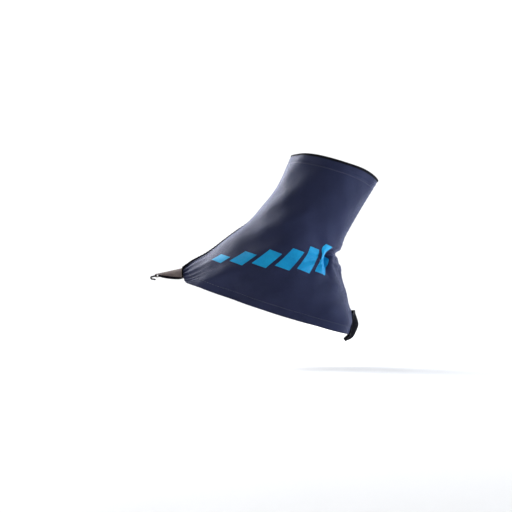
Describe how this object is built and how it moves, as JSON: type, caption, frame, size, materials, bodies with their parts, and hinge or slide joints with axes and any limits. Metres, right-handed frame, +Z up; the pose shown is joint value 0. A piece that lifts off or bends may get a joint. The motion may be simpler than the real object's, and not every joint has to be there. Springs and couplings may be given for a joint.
{
  "type": "running gaiter",
  "caption": "Stretch-fabric trail gaiter in its worn shape: a cuff round the ankle, a skirt over the shoe's collar, a front lace hook and hook-tape tabs.",
  "frame": {"origin": "centre of the ankle, on the crosswise axis that the cuff flexes about", "axes": "+Z up, +X towards the heel and -X towards the toe, -Y the outer (lateral) side of a left foot, with the shoe flat on the ground"},
  "size_m": [0.2182, 0.0872, 0.1781],
  "materials": {
    "navy_fabric": "stretch knit with a dense, slightly brushed face",
    "seam_tape": "matt woven tape",
    "elastic": "ribbed knitted elastic",
    "taupe_webbing": "flat woven webbing, dull",
    "black_webbing": "smooth coated webbing",
    "hook_tape": "moulded hook tape",
    "dark_metal": "dark, satin coated steel",
    "cyan_print": "thin heat transfer film, satin",
    "label_cloth": "soft woven label, blank"
  },
  "bodies": {
    "skirt": {"lateral_skirt_panel": "navy_fabric", "medial_skirt_panel": "navy_fabric", "lateral_ankle_panel": "navy_fabric", "medial_ankle_panel": "navy_fabric", "lateral_hem_facing": "navy_fabric", "medial_hem_facing": "navy_fabric", "lateral_hem_elastic": "elastic", "medial_hem_elastic": "elastic", "front_anchor_patch": "seam_tape", "heel_anchor_patch": "seam_tape", "front_seam_tape": "seam_tape", "rear_seam_tape": "seam_tape", "print_bar_1": "cyan_print", "print_bar_2": "cyan_print", "print_bar_3": "cyan_print", "print_bar_4": "cyan_print", "print_bar_5": "cyan_print", "print_bar_6": "cyan_print"},
    "cuff": {"lateral_leg_panel": "navy_fabric", "medial_leg_panel": "navy_fabric", "top_facing": "navy_fabric", "top_elastic": "elastic", "care_label": "label_cloth"},
    "front_strap": {"front_tab": "taupe_webbing"},
    "front_hook": {"lace_hook": "dark_metal"},
    "heel_strap": {"heel_tab": "black_webbing", "heel_hook_pad": "hook_tape"},
    "lateral_strap": {"lateral_side_tab": "black_webbing", "lateral_hook_pad": "hook_tape"},
    "medial_strap": {"medial_side_tab": "black_webbing", "medial_hook_pad": "hook_tape"}
  },
  "joints": [
    {"name": "ankle_flex", "type": "hinge", "parent": "skirt", "child": "cuff", "pos_m": [0, 0, 0], "axis": [0, -1, 0], "range_deg": [-10, 40], "deforming": ["lateral_ankle_panel", "medial_ankle_panel", "front_seam_tape", "rear_seam_tape", "print_bar_1", "print_bar_2", "print_bar_3", "print_bar_4", "print_bar_5", "print_bar_6"]},
    {"name": "front_tab_flex", "type": "hinge", "parent": "skirt", "child": "front_strap", "pos_m": [-0.1133, 0, -0.0112], "axis": [0, 1, 0], "range_deg": [-8, 70]},
    {"name": "lace_hook_swing", "type": "hinge", "parent": "front_strap", "child": "front_hook", "pos_m": [-0.1376, 0, -0.0179], "axis": [0, 1, 0], "range_deg": [-45, 45]},
    {"name": "heel_tab_peel", "type": "hinge", "parent": "skirt", "child": "heel_strap", "pos_m": [0.0521, 0, -0.051], "axis": [0, -1, 0], "range_deg": [0, 110]},
    {"name": "lateral_tab_fold", "type": "hinge", "parent": "skirt", "child": "lateral_strap", "pos_m": [-0.03315, -0.03797, -0.02735], "axis": [0.8444, -0.127, -0.5205], "range_deg": [0, 70]},
    {"name": "medial_tab_fold", "type": "hinge", "parent": "skirt", "child": "medial_strap", "pos_m": [-0.03315, 0.03797, -0.02735], "axis": [-0.8444, -0.127, 0.5205], "range_deg": [0, 70]}
  ]
}
